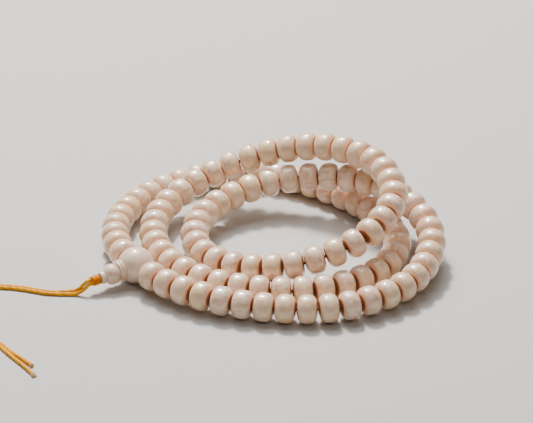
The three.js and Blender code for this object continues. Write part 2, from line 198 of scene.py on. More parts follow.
def station_points(scale):
    points = []
    for station, (sideways, rise) in enumerate(STRAND_ROUTE):
        angle = math.radians(GURU_BEARING - station * STATION_STEP)
        outward = Vector((math.cos(angle) / COIL_WIDTH, math.sin(angle) / COIL_DEPTH, 0)).normalized()
        offset = sideways * BEAD_DIAMETER
        height = BEAD_DIAMETER / 2 + rise * BEAD_DIAMETER
        if station == 0:
            offset = guru_sideways()
            height = GURU_DIAMETER / 2
        on_oval = Vector((COIL_WIDTH * math.cos(angle), COIL_DEPTH * math.sin(angle), 0)) * scale / 2
        points.append(on_oval + outward * offset + UP * height)
    return points


def guru_sideways():
    """How far outside the oval the guru bead's middle is: it leans on the turn beside it."""
    neighbour, rise = STRAND_ROUTE[GURU_LEANS_ON]
    corner = BEAD_DIAMETER / 2 / math.cos(math.pi / BEAD_SIDES)
    apart = GURU_DIAMETER / 2 + corner + GURU_REST_GAP
    drop = (GURU_DIAMETER - BEAD_DIAMETER) / 2 - rise * BEAD_DIAMETER
    return neighbour * BEAD_DIAMETER + math.sqrt(apart**2 - drop**2)


def strand_line():
    """The closed line of the cord through all beads, on the oval that makes it as long as it has to be."""
    wanted = BEAD_COUNT * BEAD_PITCH + 2 * GURU_REACH
    small = SMALLEST_SCALE
    large = LARGEST_SCALE
    for _ in range(SCALE_HALVINGS):
        scale = (small + large) / 2
        if lengths_along(smooth_line(station_points(scale), CURVE_DIVISIONS, closed=True))[-1] < wanted:
            small = scale
        else:
            large = scale
    return smooth_line(station_points(large), CURVE_DIVISIONS, closed=True)


# The cord's points between beads, moved to where the frame has them: bead n lies from n - 1 to n.
JUNCTIONS = [
    Vector(p) for p in points_at(strand_line(), GURU_REACH + BEAD_PITCH * np.arange(BEAD_COUNT + 1))
]
TOWER_JOINT = next(joint for joint in frame["joints"] if joint["name"] == "tower_spin")
GURU_MIDDLE = Vector(TOWER_JOINT["pos_m"])
TOWER_AXIS = Vector(TOWER_JOINT["axis"]).normalized()
frame_shift = GURU_MIDDLE - (JUNCTIONS[0] + JUNCTIONS[-1]) / 2
JUNCTIONS = [point + frame_shift for point in JUNCTIONS]
STRAND_AXIS = (JUNCTIONS[0] - JUNCTIONS[-1]).normalized()


def bead_direction(number):
    """The cord's direction through a bead; the first and last bead have no counting bead beyond them."""
    number = min(max(number, 1), BEAD_COUNT)
    return (JUNCTIONS[number] - JUNCTIONS[number - 1]).normalized()


def bead_length(number):
    """The longest barrel that stays clear of both neighbours, which lean towards it at a bend."""
    here = bead_direction(number)
    bend = max(here.angle(bead_direction(number + side)) for side in (-1, 1))
    room = (JUNCTIONS[number] - JUNCTIONS[number - 1]).length / 2
    lengths = [BEAD_LENGTH]
    for tenth in range(1, 10):
        share = tenth / 10
        end_reach = (1 - share**BEAD_BELT_ROUNDNESS) ** (1 / BEAD_END_ROUNDNESS)
        lean = share * BEAD_DIAMETER / 2 * math.tan(bend / 2)
        lengths.append(2 * (room - lean) / end_reach - BEAD_CLEARANCE)
    return min(lengths)


# ---- Building node trees -------------------------------------------------------------------------


def socket_named(sockets, name):
    return next(s for s in sockets if s.name == name and s.enabled)


def add_node(tree, kind, inputs=None, **settings):
    """A new node with its settings; an input takes a value, another node's output, or a list of outputs."""
    node = tree.nodes.new(kind)
    for name, value in settings.items():
        setattr(node, name, value)
    for name, value in (inputs or {}).items():
        socket = node.inputs[name] if isinstance(name, int) else socket_named(node.inputs, name)
        for source in value if isinstance(value, list) else [value]:
            if isinstance(source, bpy.types.NodeSocket):
                tree.links.new(source, socket)
            else:
                socket.default_value = source
    return node


def maths(tree, operation, first, second=0.0):
    return add_node(tree, "ShaderNodeMath", {0: first, 1: second}, operation=operation).outputs[0]


def mixed(tree, factor, first, second):
    """The two colours mixed by the factor."""
    inputs = {0: factor, 6: first, 7: second}
    return add_node(tree, "ShaderNodeMix", inputs, data_type="RGBA").outputs[2]


def stepped(tree, value, low, high, start=0.0, end=1.0):
    """A value eased from start to end as the input goes from low to high."""
    node = add_node(
        tree,
        "ShaderNodeMapRange",
        {"Value": value, "From Min": low, "From Max": high, "To Min": start, "To Max": end},
        interpolation_type="SMOOTHSTEP",
    )
    return node.outputs["Result"]


def new_group(name, kind, inputs, outputs):
    """An empty node group with named inputs [name, socket type, default] and outputs [name, type]."""
    tree = bpy.data.node_groups.new(name, kind)
    for label, socket_type, default in inputs:
        socket = tree.interface.new_socket(name=label, in_out="INPUT", socket_type=socket_type)
        if default is not None:
            socket.default_value = default
    for label, socket_type in outputs:
        tree.interface.new_socket(name=label, in_out="OUTPUT", socket_type=socket_type)
    return tree, tree.nodes.new("NodeGroupInput").outputs, tree.nodes.new("NodeGroupOutput").inputs


def grown(name, source_mesh, tree, values):
    """The plain mesh that a geometry tree makes from a source mesh, as a new object."""
    source = bpy.data.objects.new(name, source_mesh)
    bpy.context.scene.collection.objects.link(source)
    modifier = source.modifiers.new("Growth", "NODES")
    modifier.node_group = tree
    inputs = [i for i in tree.interface.items_tree if i.item_type == "SOCKET" and i.in_out == "INPUT"]
    for item in inputs:
        if item.name in values:
            modifier[item.identifier] = values[item.name]
    evaluated = source.evaluated_get(bpy.context.evaluated_depsgraph_get())
    made = bpy.data.meshes.new_from_object(evaluated)
    source.modifiers.clear()
    source.data = made
    made.name = name
    return source


def points_mesh(name, points, edges=(), **attributes):
    """A mesh of points, with named attributes on them."""
    mesh = bpy.data.meshes.new(name)
    mesh.from_pydata([tuple(p) for p in points], list(edges), [])
    kinds = {int: ("INT", "value"), float: ("FLOAT", "value"), Vector: ("FLOAT_VECTOR", "vector")}
    for label, values in attributes.items():
        data_type, key = kinds[type(values[0])]
        attribute = mesh.attributes.new(label, data_type, "POINT")
        attribute.data.foreach_set(key, np.array(values).ravel())
    return mesh


# ---- Geometry trees ------------------------------------------------------------------------------


def named_attribute(tree, name, data_type):
    return add_node(
        tree, "GeometryNodeInputNamedAttribute", {"Name": name}, data_type=data_type
    ).outputs["Attribute"]


def stored(tree, geometry, name, value, data_type="FLOAT_VECTOR", domain="POINT"):
    return add_node(
        tree,
        "GeometryNodeStoreNamedAttribute",
        {"Geometry": geometry, "Name": name, "Value": value},
        data_type=data_type,
        domain=domain,
    ).outputs["Geometry"]


def signed_power(tree, value, exponent):
    size = maths(tree, "POWER", maths(tree, "ABSOLUTE", value), exponent)
    return maths(tree, "MULTIPLY", size, maths(tree, "SIGN", value))


def ply_lobe(tree, place):
    """1 on the back of each ply and 0 between two plies, for a place on the cord's section."""
    parts = add_node(tree, "ShaderNodeSeparateXYZ", {0: place})
    bearing = maths(tree, "ARCTAN2", parts.outputs["Y"], parts.outputs["X"])
    half_turns = maths(tree, "MULTIPLY", bearing, PLY_COUNT / 2)
    return maths(tree, "ABSOLUTE", maths(tree, "COSINE", half_turns))


def around(tree, reach, angle, height=0.0):
    """The point at a reach and an angle round the Z axis, at a height."""
    across = maths(tree, "MULTIPLY", reach, maths(tree, "COSINE", angle))
    beside = maths(tree, "MULTIPLY", reach, maths(tree, "SINE", angle))
    return add_node(tree, "ShaderNodeCombineXYZ", {"X": across, "Y": beside, "Z": height}).outputs[0]


def ended(tree, geometry, material, result):
    """The tree, ended with real meshes in their material."""
    real = add_node(tree, "GeometryNodeRealizeInstances", {"Geometry": geometry})
    finished = add_node(
        tree, "GeometryNodeSetMaterial", {"Geometry": real.outputs[0], "Material": material}
    )
    tree.links.new(finished.outputs[0], result)
    return tree


def barrel_bead_tree():
    """Barrel beads on given points: each has its cord direction, and its bead's number and length."""
    tree, given, result = new_group(
        "barrel_beads",
        "GeometryNodeTree",
        [
            ("Points", "NodeSocketGeometry", None),
            ("Diameter", "NodeSocketFloat", BEAD_DIAMETER),
            ("Length", "NodeSocketFloat", BEAD_LENGTH),
            ("Bore", "NodeSocketFloat", BEAD_BORE),
            ("End Roundness", "NodeSocketFloat", BEAD_END_ROUNDNESS),
            ("Belt Roundness", "NodeSocketFloat", BEAD_BELT_ROUNDNESS),
            ("Segments", "NodeSocketInt", BEAD_SEGMENTS),
            ("Rings", "NodeSocketInt", BEAD_RINGS),
            ("Size Spread", "NodeSocketFloat", 0.012),
            ("Seed", "NodeSocketInt", 3),
            ("Material", "NodeSocketMaterial", None),
        ],
        [("Beads", "NodeSocketGeometry")],
    )
    # The outside: a sheet of rings by segments, wrapped round the bore on the barrel's outline.
    around_count = maths(tree, "ADD", given["Segments"], 1)
    sheet = add_node(
        tree,
        "GeometryNodeMeshGrid",
        {"Size X": 1.0, "Size Y": 1.0, "Vertices X": given["Rings"], "Vertices Y": around_count},
    )
    place = add_node(
        tree, "ShaderNodeSeparateXYZ", {0: tree.nodes.new("GeometryNodeInputPosition").outputs[0]}
    )
    radius = maths(tree, "MULTIPLY", given["Diameter"], 0.5)
    half = maths(tree, "MULTIPLY", given["Length"], 0.5)
    bore_share = maths(tree, "DIVIDE", given["Bore"], given["Diameter"])
    half_belt = maths(tree, "MULTIPLY", given["Belt Roundness"], 0.5)
    last_angle = maths(tree, "ARCCOSINE", maths(tree, "POWER", bore_share, half_belt))
    angle = maths(tree, "MULTIPLY", maths(tree, "MULTIPLY", place.outputs["X"], 2.0), last_angle)
    across_power = maths(tree, "DIVIDE", 2.0, given["Belt Roundness"])
    along_power = maths(tree, "DIVIDE", 2.0, given["End Roundness"])
    across = maths(
        tree, "MULTIPLY", radius, maths(tree, "POWER", maths(tree, "COSINE", angle), across_power)
    )
    along = maths(tree, "MULTIPLY", half, signed_power(tree, maths(tree, "SINE", angle), along_power))
    turn = maths(tree, "MULTIPLY", place.outputs["Y"], -math.tau)
    wrapped = around(tree, across, turn, along)
    outside = add_node(
        tree, "GeometryNodeSetPosition", {"Geometry": sheet.outputs["Mesh"], "Position": wrapped}
    )
    # The bore's wall, which meets the outside at both rims.
    rim = maths(
        tree, "MULTIPLY", half, signed_power(tree, maths(tree, "SINE", last_angle), along_power)
    )
    wall = add_node(
        tree,
        "GeometryNodeMeshCylinder",
        {
            "Vertices": given["Segments"],
            "Radius": maths(tree, "MULTIPLY", given["Bore"], 0.5),
            "Depth": maths(tree, "MULTIPLY", rim, 2.0),
        },
        fill_type="NONE",
    )
    inward = add_node(tree, "GeometryNodeFlipFaces", {"Mesh": wall.outputs["Mesh"]})
    both = add_node(
        tree, "GeometryNodeJoinGeometry", {"Geometry": [outside.outputs[0], inward.outputs[0]]}
    )
    closed = add_node(
        tree, "GeometryNodeMergeByDistance", {"Geometry": both.outputs[0], "Distance": BEAD_WELD}
    )
    smooth = add_node(tree, "GeometryNodeSetShadeSmooth", {0: closed.outputs[0], "Shade Smooth": True})
    sharp_rim = add_node(
        tree,
        "GeometryNodeSetShadeSmooth",
        {
            0: smooth.outputs[0],
            "Selection": maths(
                tree,
                "GREATER_THAN",
                tree.nodes.new("GeometryNodeInputMeshEdgeAngle").outputs["Unsigned Angle"],
                BEAD_SHARP_ANGLE,
            ),
            "Shade Smooth": False,
        },
        domain="EDGE",
    )
    bead = stored(
        tree, sharp_rim.outputs[0], "bead_place", tree.nodes.new("GeometryNodeInputPosition").outputs[0]
    )
    # One bead on each point, turned a random way round its cord and a little smaller than it could be.
    number = named_attribute(tree, "bead_number", "INT")

    def by_bead(low, high, extra_seed):
        seed = maths(tree, "ADD", given["Seed"], extra_seed)
        node = add_node(
            tree,
            "FunctionNodeRandomValue",
            {"Min": low, "Max": high, "ID": number, "Seed": seed},
            data_type="FLOAT",
        )
        return socket_named(node.outputs, "Value")

    facing = add_node(
        tree,
        "FunctionNodeAlignRotationToVector",
        {"Vector": named_attribute(tree, "cord_direction", "FLOAT_VECTOR")},
        axis="Z",
    )
    roll = add_node(
        tree,
        "FunctionNodeAxisAngleToRotation",
        {"Axis": (0, 0, 1), "Angle": by_bead(0.0, math.tau, 0)},
    )
    rotation = add_node(
        tree,
        "FunctionNodeRotateRotation",
        {"Rotation": facing.outputs[0], "Rotate By": roll.outputs[0]},
        rotation_space="LOCAL",
    )
    least = maths(tree, "SUBTRACT", 1.0, given["Size Spread"])
    across_size = by_bead(least, 1.0, 1)
    own_length = maths(tree, "DIVIDE", named_attribute(tree, "bead_length", "FLOAT"), given["Length"])
    along_size = maths(tree, "MULTIPLY", own_length, by_bead(least, 1.0, 2))
    size = add_node(
        tree, "ShaderNodeCombineXYZ", {"X": across_size, "Y": across_size, "Z": along_size}
    )
    strung = add_node(
        tree,
        "GeometryNodeInstanceOnPoints",
        {
            "Points": given["Points"],
            "Instance": bead,
            "Rotation": rotation.outputs[0],
            "Scale": size.outputs[0],
        },
    )
    toned = stored(tree, strung.outputs[0], "bead_tone", by_bead(0.0, 1.0, 5), "FLOAT", "INSTANCE")
    return ended(tree, toned, given["Material"], result["Beads"])


def plied_cord_tree():
    """A cord of three twisted plies along a line of points."""
    tree, given, result = new_group(
        "plied_cord",
        "GeometryNodeTree",
        [
            ("Line", "NodeSocketGeometry", None),
            ("Diameter", "NodeSocketFloat", CORD_DIAMETER),
            ("Twist Length", "NodeSocketFloat", TWIST_LENGTH),
            ("Step", "NodeSocketFloat", 0.0003),
            ("Segments", "NodeSocketInt", 24),
            ("Furrow", "NodeSocketFloat", 0.12),
            ("Material", "NodeSocketMaterial", None),
        ],
        [("Cord", "NodeSocketGeometry")],
    )
    # The section: a circle drawn in at three furrows between the plies.
    circle = add_node(
        tree,
        "GeometryNodeCurvePrimitiveCircle",
        {"Resolution": given["Segments"], "Radius": 1.0},
        mode="RADIUS",
    )
    spot = tree.nodes.new("GeometryNodeInputPosition").outputs[0]
    lobe = ply_lobe(tree, spot)
    depth = maths(tree, "MULTIPLY", maths(tree, "SUBTRACT", 1.0, lobe), given["Furrow"])
    reach = maths(tree, "SUBTRACT", 1.0, depth)
    radius = maths(tree, "MULTIPLY", maths(tree, "MULTIPLY", given["Diameter"], 0.5), reach)
    scaled = add_node(tree, "ShaderNodeVectorMath", {0: spot, "Scale": radius}, operation="SCALE")
    marked = stored(tree, circle.outputs["Curve"], "ply_place", spot)
    section = add_node(
        tree, "GeometryNodeSetPosition", {"Geometry": marked, "Position": scaled.outputs[0]}
    )
    # The line, with the section turning evenly along it.
    line = add_node(tree, "GeometryNodeMeshToCurve", {"Mesh": given["Line"]})
    even = add_node(
        tree,
        "GeometryNodeResampleCurve",
        {"Curve": line.outputs[0], "Length": given["Step"]},
        mode="LENGTH",
    )
    travelled = tree.nodes.new("GeometryNodeSplineParameter").outputs["Length"]
    marked_line = stored(tree, even.outputs[0], "cord_travel", travelled, "FLOAT")
    turns = maths(tree, "DIVIDE", travelled, given["Twist Length"])
    twisted = add_node(
        tree,
        "GeometryNodeSetCurveTilt",
        {"Curve": marked_line, "Tilt": maths(tree, "MULTIPLY", turns, math.tau)},
    )
    swept = add_node(
        tree,
        "GeometryNodeCurveToMesh",
        {"Curve": twisted.outputs[0], "Profile Curve": section.outputs[0], "Fill Caps": True},
    )
    smooth = add_node(tree, "GeometryNodeSetShadeSmooth", {0: swept.outputs[0], "Shade Smooth": True})
    return ended(tree, smooth.outputs[0], given["Material"], result["Cord"])


def frayed_end_tree():
    """A brush of loose fibres at a cut end: one point with the direction the cord ends in."""
    tree, given, result = new_group(
        "frayed_end",
        "GeometryNodeTree",
        [
            ("End", "NodeSocketGeometry", None),
            ("Fibres", "NodeSocketInt", 90),
            ("Length", "NodeSocketFloat", 0.0017),
            ("Fibre Diameter", "NodeSocketFloat", 0.00018),
            ("Brush Diameter", "NodeSocketFloat", 0.0012),
            ("Splay", "NodeSocketFloat", 0.34),
            ("Seed", "NodeSocketInt", 11),
            ("Material", "NodeSocketMaterial", None),
        ],
        [("Fibres", "NodeSocketGeometry")],
    )
    cone = add_node(
        tree,
        "GeometryNodeMeshCone",
        {
            "Vertices": 6,
            "Side Segments": 4,
            "Radius Top": maths(tree, "MULTIPLY", given["Fibre Diameter"], 0.25),
            "Radius Bottom": maths(tree, "MULTIPLY", given["Fibre Diameter"], 0.5),
            "Depth": given["Length"],
        },
    )
    spot = tree.nodes.new("GeometryNodeInputPosition").outputs[0]
    height = add_node(tree, "ShaderNodeSeparateXYZ", {0: spot}).outputs["Z"]
    share = maths(tree, "DIVIDE", height, given["Length"])
    fibre = stored(tree, cone.outputs["Mesh"], "fibre_share", share, "FLOAT")
    brush = add_node(tree, "GeometryNodePoints", {"Count": given["Fibres"]})

    def by_fibre(low, high, extra_seed):
        seed = maths(tree, "ADD", given["Seed"], extra_seed)
        node = add_node(
            tree, "FunctionNodeRandomValue", {"Min": low, "Max": high, "Seed": seed}, data_type="FLOAT"
        )
        return socket_named(node.outputs, "Value")

    bearing = by_fibre(0.0, math.tau, 0)
    out = maths(tree, "SQRT", by_fibre(0.0, 1.0, 1))
    reach = maths(tree, "MULTIPLY", out, maths(tree, "MULTIPLY", given["Brush Diameter"], 0.5))
    seat = around(tree, reach, bearing)
    spread = add_node(
        tree, "GeometryNodeSetPosition", {"Geometry": brush.outputs[0], "Position": seat}
    )
    lean = maths(tree, "MULTIPLY", out, maths(tree, "MULTIPLY", given["Splay"], by_fibre(0.2, 1.0, 2)))
    leaning = around(tree, lean, bearing, 1.0)
    aimed = add_node(tree, "FunctionNodeAlignRotationToVector", {"Vector": leaning}, axis="Z")
    long_or_short = add_node(
        tree, "ShaderNodeCombineXYZ", {"X": 1.0, "Y": 1.0, "Z": by_fibre(0.35, 1.0, 3)}
    )
    fibres = add_node(
        tree,
        "GeometryNodeInstanceOnPoints",
        {
            "Points": spread.outputs[0],
            "Instance": fibre,
            "Rotation": aimed.outputs[0],
            "Scale": long_or_short.outputs[0],
        },
    )
    real = add_node(tree, "GeometryNodeRealizeInstances", {"Geometry": fibres.outputs[0]})
    along_cord = add_node(
        tree,
        "FunctionNodeAlignRotationToVector",
        {"Vector": named_attribute(tree, "cord_direction", "FLOAT_VECTOR")},
        axis="Z",
    )
    placed = add_node(
        tree,
        "GeometryNodeInstanceOnPoints",
        {"Points": given["End"], "Instance": real.outputs[0], "Rotation": along_cord.outputs[0]},
    )
    return ended(tree, placed.outputs[0], given["Material"], result["Fibres"])


# ---- Materials -----------------------------------------------------------------------------------

HOLLOW_SOFTNESS = 0.0009  # width of the soft edge of the painted shade in the hollow
SPOT_STRENGTH = 0.3
RIM_GLOW_STRENGTH = 0.75
HOLLOW_SHADE_STRENGTH = 0.9
IVORY_DEPTH = 0.0013  # how far light goes into it
IVORY_IOR = 1.54
FURROW_SHADE_STRENGTH = 0.7


def ivory_grain_group():
    """Growth lines, clouds and pin spots of polished vegetable ivory."""
    tree, given, result = new_group(
        "ivory_grain",
        "ShaderNodeTree",
        [
            ("Place", "NodeSocketVector", None),
            ("Tone", "NodeSocketFloat", 0.5),
            ("Line Spacing", "NodeSocketFloat", 0.0009),
            ("Cloud Size", "NodeSocketFloat", 0.004),
        ],
        [("Lines", "NodeSocketFloat"), ("Clouds", "NodeSocketFloat"), ("Spots", "NodeSocketFloat")],
    )
    shift = add_node(
        tree,
        "ShaderNodeVectorMath",
        {0: (0.13, 0.31, 0.07), "Scale": given["Tone"]},
        operation="SCALE",
    )
    place = add_node(
        tree, "ShaderNodeVectorMath", {0: given["Place"], 1: shift.outputs[0]}, operation="ADD"
    ).outputs[0]
    fine = maths(tree, "DIVIDE", 1.0, given["Line Spacing"])
    stretched = add_node(tree, "ShaderNodeMapping", {"Vector": place, "Scale": (1.0, 0.16, 0.3)})
    lines = add_node(
        tree,
        "ShaderNodeTexNoise",
        {"Vector": stretched.outputs[0], "Scale": fine, "Detail": 3.0, "Roughness": 0.6},
    )
    broad = maths(tree, "DIVIDE", 1.0, given["Cloud Size"])
    clouds = add_node(
        tree, "ShaderNodeTexNoise", {"Vector": place, "Scale": broad, "Detail": 2.0, "Distortion": 0.6}
    )
    specks = add_node(tree, "ShaderNodeTexVoronoi", {"Vector": place, "Scale": fine})
    tree.links.new(lines.outputs[0], result["Lines"])
    tree.links.new(clouds.outputs[0], result["Clouds"])
    tree.links.new(stepped(tree, specks.outputs["Distance"], 0.05, 0.16, 1.0, 0.0), result["Spots"])
    return tree


def bead_ends_group():
    """Where a bead's ends are: the rim, where a warm glow of light through it and from the neighbour is
    painted, and the hollow by the bore, where brown shade is painted.
    """
    tree, given, result = new_group(
        "bead_ends",
        "ShaderNodeTree",
        [
            ("Place", "NodeSocketVector", None),
            ("Rim Start", "NodeSocketFloat", 0.0028),
            ("Rim End", "NodeSocketFloat", 0.0034),
            ("Hollow Radius", "NodeSocketFloat", 0.0034),
        ],
        [("Rim", "NodeSocketFloat"), ("Hollow", "NodeSocketFloat")],
    )
    parts = add_node(tree, "ShaderNodeSeparateXYZ", {0: given["Place"]})
    height = maths(tree, "ABSOLUTE", parts.outputs["Z"])
    across = add_node(
        tree, "ShaderNodeVectorMath", {0: given["Place"], 1: (1.0, 1.0, 0.0)}, operation="MULTIPLY"
    )
    radius = add_node(
        tree, "ShaderNodeVectorMath", {0: across.outputs[0]}, operation="LENGTH"
    ).outputs["Value"]
    rim = stepped(tree, height, given["Rim Start"], given["Rim End"])
    soft_edge = maths(tree, "ADD", given["Hollow Radius"], HOLLOW_SOFTNESS)
    inside = stepped(tree, radius, given["Hollow Radius"], soft_edge, 1.0, 0.0)
    tree.links.new(rim, result["Rim"])
    tree.links.new(maths(tree, "MULTIPLY", inside, rim), result["Hollow"])
    return tree


def ivory_material(name, sizes, ends, tone_strength):
    """Polished ivory: pale ground, deeper clouds and lines, a painted warm glow at the rims of its ends and
    painted brown shade in the hollows by the bore.
    """
    material = bpy.data.materials.new(name)
    material.use_nodes = True
    tree = material.node_tree
    shader = tree.nodes["Principled BSDF"]
    place = add_node(tree, "ShaderNodeAttribute", attribute_name="bead_place").outputs["Vector"]
    tone = add_node(tree, "ShaderNodeAttribute", attribute_name="bead_tone").outputs["Fac"]
    grain = tree.nodes.new("ShaderNodeGroup")
    grain.node_tree = GROUPS["ivory_grain"]
    tree.links.new(place, grain.inputs["Place"])
    tree.links.new(tone, grain.inputs["Tone"])
    grain.inputs["Line Spacing"].default_value, grain.inputs["Cloud Size"].default_value = sizes
    end_parts = tree.nodes.new("ShaderNodeGroup")
    end_parts.node_tree = GROUPS["bead_ends"]
    tree.links.new(place, end_parts.inputs["Place"])
    for label, value in zip(("Rim Start", "Rim End", "Hollow Radius"), ends):
        end_parts.inputs[label].default_value = value
    clouded = mixed(tree, stepped(tree, grain.outputs["Clouds"], 0.38, 0.66), PALE_IVORY, ROSY_IVORY)
    line_mask = stepped(tree, grain.outputs["Lines"], 0.5, 0.63, 0.0, 0.7)
    lined = mixed(tree, line_mask, clouded, DEEP_IVORY)
    spot_mask = maths(tree, "MULTIPLY", grain.outputs["Spots"], SPOT_STRENGTH)
    spotted = mixed(tree, spot_mask, lined, DEEP_IVORY)
    toned = mixed(tree, maths(tree, "MULTIPLY", tone, tone_strength), spotted, CREAM_IVORY)
    # Painted light: a warm glow of light passing through the rim and from the neighbouring bead is mixed into
    # the colour at the bead's ends.
    rim_glow_mask = maths(tree, "MULTIPLY", end_parts.outputs["Rim"], RIM_GLOW_STRENGTH)
    # Painted shade: the hollow by the bore at each end is darkened to brown where the neighbouring bead
    # shades it.
    hollow_shade_mask = maths(tree, "MULTIPLY", end_parts.outputs["Hollow"], HOLLOW_SHADE_STRENGTH)
    with_rim_glow = mixed(tree, rim_glow_mask, toned, PAINTED_RIM_GLOW)
    colour = mixed(tree, hollow_shade_mask, with_rim_glow, BROWN_HOLLOW_SHADE)
    tree.links.new(colour, shader.inputs["Base Color"])
    tree.links.new(stepped(tree, grain.outputs["Lines"], 0.3, 0.8, 0.28, 0.4), shader.inputs["Roughness"])
    relief = add_node(
        tree,
        "ShaderNodeBump",
        {"Height": grain.outputs["Lines"], "Strength": 0.08, "Distance": 0.0002},
    )
    tree.links.new(relief.outputs[0], shader.inputs["Normal"])
    shader.inputs["Subsurface Weight"].default_value = 0.4
    shader.inputs["Subsurface Radius"].default_value = (1.0, 0.4, 0.15)
    shader.inputs["Subsurface Scale"].default_value = IVORY_DEPTH
    shader.inputs["IOR"].default_value = IVORY_IOR
    shader.inputs["Coat Weight"].default_value = 1.0
    shader.inputs["Coat Roughness"].default_value = 0.05
    return material


def cord_fibre_group():
    """Fine fibres that run along a ply, and a mask for painted shade in the furrows between plies."""
    tree, given, result = new_group(
        "cord_fibres",
        "ShaderNodeTree",
        [("Fibre Count", "NodeSocketFloat", 7.0), ("Fibre Stretch", "NodeSocketFloat", 260.0)],
        [("Fibres", "NodeSocketFloat"), ("Furrow", "NodeSocketFloat")],
    )
    ply = add_node(tree, "ShaderNodeAttribute", attribute_name="ply_place").outputs["Vector"]
    travel = add_node(tree, "ShaderNodeAttribute", attribute_name="cord_travel").outputs["Fac"]
    lobe = ply_lobe(tree, ply)
    around = add_node(
        tree, "ShaderNodeVectorMath", {0: ply, "Scale": given["Fibre Count"]}, operation="SCALE"
    )
    shifted = add_node(
        tree, "ShaderNodeCombineXYZ", {"Z": maths(tree, "MULTIPLY", travel, given["Fibre Stretch"])}
    )
    place = add_node(
        tree, "ShaderNodeVectorMath", {0: around.outputs[0], 1: shifted.outputs[0]}, operation="ADD"
    )
    fibres = add_node(
        tree, "ShaderNodeTexNoise", {"Vector": place.outputs[0], "Scale": 1.0, "Detail": 3.0}
    )
    tree.links.new(fibres.outputs[0], result["Fibres"])
    tree.links.new(stepped(tree, lobe, 0.0, 0.4, 1.0, 0.0), result["Furrow"])
    return tree


def cord_material(name, bright, deep, fibre_count):
    """Silky twisted cord: bright fibres, deeper between them, with painted shade in the furrows."""
    material = bpy.data.materials.new(name)
    material.use_nodes = True
    tree = material.node_tree
    shader = tree.nodes["Principled BSDF"]
    fibres = tree.nodes.new("ShaderNodeGroup")
    fibres.node_tree = GROUPS["cord_fibres"]
    fibres.inputs["Fibre Count"].default_value = fibre_count
    streaked = mixed(tree, stepped(tree, fibres.outputs["Fibres"], 0.38, 0.62), deep, bright)
    # Painted shade: the furrows between the plies are darkened towards the deep colour.
    furrow_shaded = mixed(tree, maths(tree, "MULTIPLY", fibres.outputs["Furrow"], FURROW_SHADE_STRENGTH), streaked, deep)
    tree.links.new(furrow_shaded, shader.inputs["Base Color"])
    tree.links.new(
        stepped(tree, fibres.outputs["Fibres"], 0.3, 0.7, 0.62, 0.42), shader.inputs["Roughness"]
    )
    relief = add_node(
        tree, "ShaderNodeBump", {"Height": fibres.outputs["Fibres"], "Strength": 0.7, "Distance": 0.0001}
    )
    tree.links.new(relief.outputs[0], shader.inputs["Normal"])
    shader.inputs["Specular IOR Level"].default_value = 0.3
    shader.inputs["Specular Tint"].default_value = (1.0, 0.75, 0.3, 1)
    return material


def fray_material():
    """Loose fibres, golden at the cord and bleached towards their tips."""
    material = bpy.data.materials.new("frayed_fibre")
    material.use_nodes = True
    tree = material.node_tree
    shader = tree.nodes["Principled BSDF"]
    share = add_node(tree, "ShaderNodeAttribute", attribute_name="fibre_share").outputs["Fac"]
    colour = mixed(tree, stepped(tree, share, 0.15, 0.9), (0.85, 0.4, 0.01, 1), (0.85, 0.68, 0.3, 1))
    tree.links.new(colour, shader.inputs["Base Color"])
    shader.inputs["Roughness"].default_value = 0.55
    shader.inputs["Sheen Weight"].default_value = 0.3
    return material


GROUPS = {
    "ivory_grain": ivory_grain_group(),
    "bead_ends": bead_ends_group(),
    "cord_fibres": cord_fibre_group(),
}
PALE_IVORY = (0.88, 0.68, 0.54, 1)
ROSY_IVORY = (0.84, 0.59, 0.45, 1)
CREAM_IVORY = (0.84, 0.6, 0.35, 1)
DEEP_IVORY = (0.66, 0.4, 0.22, 1)
# Painted light: the warm glow at the rims of the bead ends.
PAINTED_RIM_GLOW = (0.93, 0.5, 0.27, 1)
# Painted shade: the brown of the hollows by the bore at the bead ends.
BROWN_HOLLOW_SHADE = (0.32, 0.11, 0.035, 1)
BEAD_IVORY = ivory_material("bead_ivory", (0.0009, 0.0045), (0.0028, 0.00325, 0.0026), 0.75)
GURU_IVORY = ivory_material("guru_ivory", (0.0011, 0.006), (0.0057, 0.0062, 0.001), 0.2)
TOWER_IVORY = ivory_material("tower_ivory", (0.0009, 0.005), (0.02, 0.03, 0.001), 0.2)
GOLDEN_CORD = cord_material("golden_cord", (0.95, 0.5, 0.0, 1), (0.68, 0.2, 0.0, 1), 4.0)
# Painted shade: the strung cord is the golden cord's colour darkened, for where the beads shade it.
SHADED_CORD = cord_material("shaded_cord", (0.3, 0.1, 0.01, 1), (0.2, 0.05, 0.005, 1), 4.0)
KNOT_CORD = cord_material("knot_cord", (0.8, 0.3, 0.0, 1), (0.5, 0.1, 0.0, 1), 4.0)
FRAYED_FIBRE = fray_material()

TREES = {
    "beads": barrel_bead_tree(),
    "cord": plied_cord_tree(),
    "fray": frayed_end_tree(),
}

# ---- Counting beads ------------------------------------------------------------------------------


def string_beads(name, numbers, body, node):
    """One piece: the numbered beads on their places along the strand."""
    source = points_mesh(
        name,
        [(JUNCTIONS[n - 1] + JUNCTIONS[n]) / 2 for n in numbers],
        cord_direction=[bead_direction(n) for n in numbers],
        bead_length=[bead_length(n) for n in numbers],
        bead_number=list(numbers),
    )
    beads = grown(name, source, TREES["beads"], {"Material": BEAD_IVORY})
    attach(beads, body)
    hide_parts(node)


def string_all_beads():
    joined = set()
    for first, last in JOINED_RUNS:
        numbers = list(range(first, last + 1))
        joined.update(numbers)
        span = f"{first:03d}_{last:03d}"
        string_beads(f"barrel_beads_{span}", numbers, "strand", f"bead_run_{span}")
    for number in range(1, BEAD_COUNT + 1):
        if number not in joined:
            name = f"bead_{number:03d}"
            string_beads(f"barrel_{name}", [number], name, name)


# ---- Guru bead and tower bead --------------------------------------------------------------------


def turned_matrix(middle, axis):
    """The place of a turned piece whose own Z axis runs along the given direction."""
    return Matrix.Translation(middle) @ axis.to_track_quat("Z", "Y").to_matrix().to_4x4()


